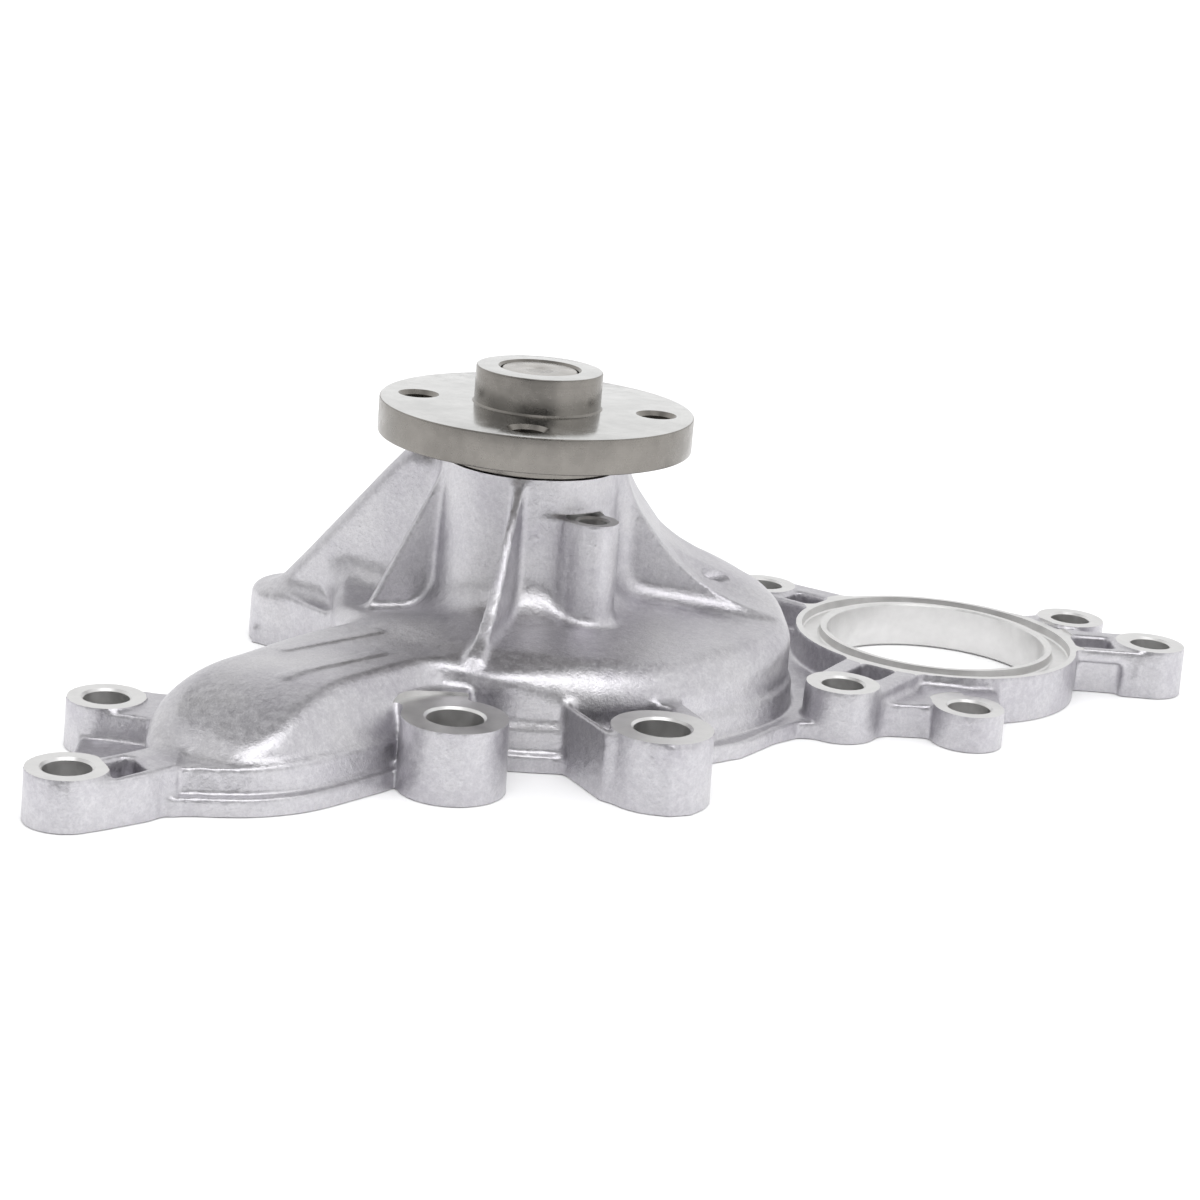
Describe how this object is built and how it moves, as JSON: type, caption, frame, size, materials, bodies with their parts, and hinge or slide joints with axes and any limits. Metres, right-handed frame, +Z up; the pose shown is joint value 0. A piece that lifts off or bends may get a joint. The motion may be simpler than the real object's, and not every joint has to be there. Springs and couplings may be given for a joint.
{
  "type": "automotive water pump",
  "caption": "Engine water pump with a die-cast volute body, flanged pulley hub, bearing shaft, face seal and vaned impeller, plus a separate round coolant port.",
  "frame": {"origin": "middle of the footprint's bounding box, in the plane of the joint face that the pump lies on", "axes": "+Z up the shaft towards the pulley hub, +X along the body from the delivery duct's end towards the round coolant port"},
  "size_m": [0.2408, 0.1772, 0.0713],
  "materials": {
    "casting": "as die-cast, finely grained, machined bright on the joint face, bolt seats and port face",
    "steel": "turned and satin, fine concentric marks",
    "shaft_steel": "ground bearing steel",
    "pressed_steel": "pressed stainless sheet",
    "rubber": "moulded matt black",
    "carbon": "lapped carbon graphite",
    "ceramic": "lapped off-white ceramic",
    "brass": "drawn sheet",
    "nylon": "moulded glass-filled nylon"
  },
  "bodies": {
    "housing": {"pump_body": "casting", "bearing_outer_ring": "shaft_steel", "front_lip_seal": "rubber", "rear_lip_seal": "rubber", "seal_cup": "brass", "seal_bellows": "rubber", "seal_spring": "shaft_steel", "carbon_ring": "carbon"},
    "rotor": {"pulley_hub": "steel", "shaft": "shaft_steel", "impeller": "pressed_steel", "slinger": "rubber", "seat_ring": "ceramic", "seat_cup": "rubber"},
    "ball_set": {"ball_cage": "nylon", "ball_1": "shaft_steel", "ball_2": "shaft_steel", "ball_3": "shaft_steel", "ball_4": "shaft_steel", "ball_5": "shaft_steel", "ball_6": "shaft_steel", "ball_7": "shaft_steel", "ball_8": "shaft_steel"},
    "roller_set": {"roller_cage": "nylon", "roller_1": "shaft_steel", "roller_2": "shaft_steel", "roller_3": "shaft_steel", "roller_4": "shaft_steel", "roller_5": "shaft_steel", "roller_6": "shaft_steel", "roller_7": "shaft_steel", "roller_8": "shaft_steel", "roller_9": "shaft_steel", "roller_10": "shaft_steel", "roller_11": "shaft_steel", "roller_12": "shaft_steel"}
  },
  "joints": [
    {"name": "shaft_spin", "type": "hinge", "parent": "housing", "child": "rotor", "pos_m": [-0.0331, 0.01235, 0], "axis": [0, 0, 1], "continuous": true},
    {"name": "ball_cage_spin", "type": "hinge", "parent": "housing", "child": "ball_set", "pos_m": [-0.0331, 0.01235, 0], "axis": [0, 0, 1], "continuous": true},
    {"name": "roller_cage_spin", "type": "hinge", "parent": "housing", "child": "roller_set", "pos_m": [-0.0331, 0.01235, 0], "axis": [0, 0, 1], "continuous": true}
  ],
  "couplings": [
    {"joint": "ball_cage_spin", "follows": "shaft_spin", "ratio": 0.362},
    {"joint": "roller_cage_spin", "follows": "shaft_spin", "ratio": 0.401}
  ]
}
